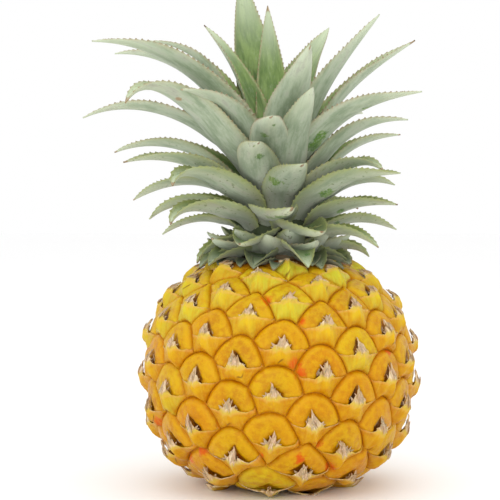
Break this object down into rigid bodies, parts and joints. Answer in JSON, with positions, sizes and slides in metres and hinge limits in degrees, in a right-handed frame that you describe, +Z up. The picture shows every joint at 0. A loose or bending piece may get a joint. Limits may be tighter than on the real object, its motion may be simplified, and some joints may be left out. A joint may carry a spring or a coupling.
{
  "type": "small pineapple",
  "caption": "Small whole golden pineapple with deep-set pointed fruitlets and a spreading crown of grey-green toothed leaves",
  "frame": {"origin": "on the fruit's axis, at the middle of the cut stalk's face that it stands on", "axes": "+Z up towards the crown, -Y towards the side that the picture shows, +X to the picture's right"},
  "size_m": [0.1257, 0.1135, 0.199],
  "materials": {
    "fruit_skin": "waxy",
    "crown_base": "dull",
    "leaf": "satin bloom"
  },
  "bodies": {
    "root": {"fruit": "fruit_skin", "crown_stem": "crown_base", "leaf_01": "leaf", "leaf_02": "leaf", "leaf_03": "leaf", "leaf_04": "leaf", "leaf_05": "leaf", "leaf_06": "leaf", "leaf_07": "leaf", "leaf_08": "leaf", "leaf_09": "leaf", "leaf_10": "leaf", "leaf_11": "leaf", "leaf_12": "leaf", "leaf_13": "leaf", "leaf_14": "leaf", "leaf_15": "leaf", "leaf_16": "leaf", "leaf_17": "leaf", "leaf_18": "leaf", "leaf_19": "leaf", "leaf_20": "leaf", "leaf_21": "leaf", "leaf_22": "leaf", "leaf_23": "leaf", "leaf_24": "leaf", "leaf_25": "leaf", "leaf_26": "leaf", "leaf_27": "leaf", "leaf_28": "leaf", "leaf_29": "leaf", "leaf_30": "leaf", "leaf_31": "leaf", "leaf_32": "leaf", "leaf_33": "leaf", "leaf_34": "leaf", "leaf_35": "leaf", "leaf_36": "leaf", "leaf_37": "leaf", "leaf_38": "leaf", "leaf_39": "leaf", "leaf_40": "leaf", "leaf_41": "leaf", "leaf_42": "leaf", "leaf_43": "leaf", "leaf_44": "leaf", "leaf_45": "leaf", "leaf_46": "leaf", "leaf_47": "leaf", "leaf_48": "leaf", "leaf_49": "leaf", "leaf_50": "leaf", "leaf_51": "leaf", "leaf_52": "leaf", "leaf_53": "leaf", "leaf_54": "leaf", "leaf_55": "leaf", "leaf_56": "leaf", "leaf_57": "leaf", "leaf_58": "leaf"}
  },
  "joints": []
}
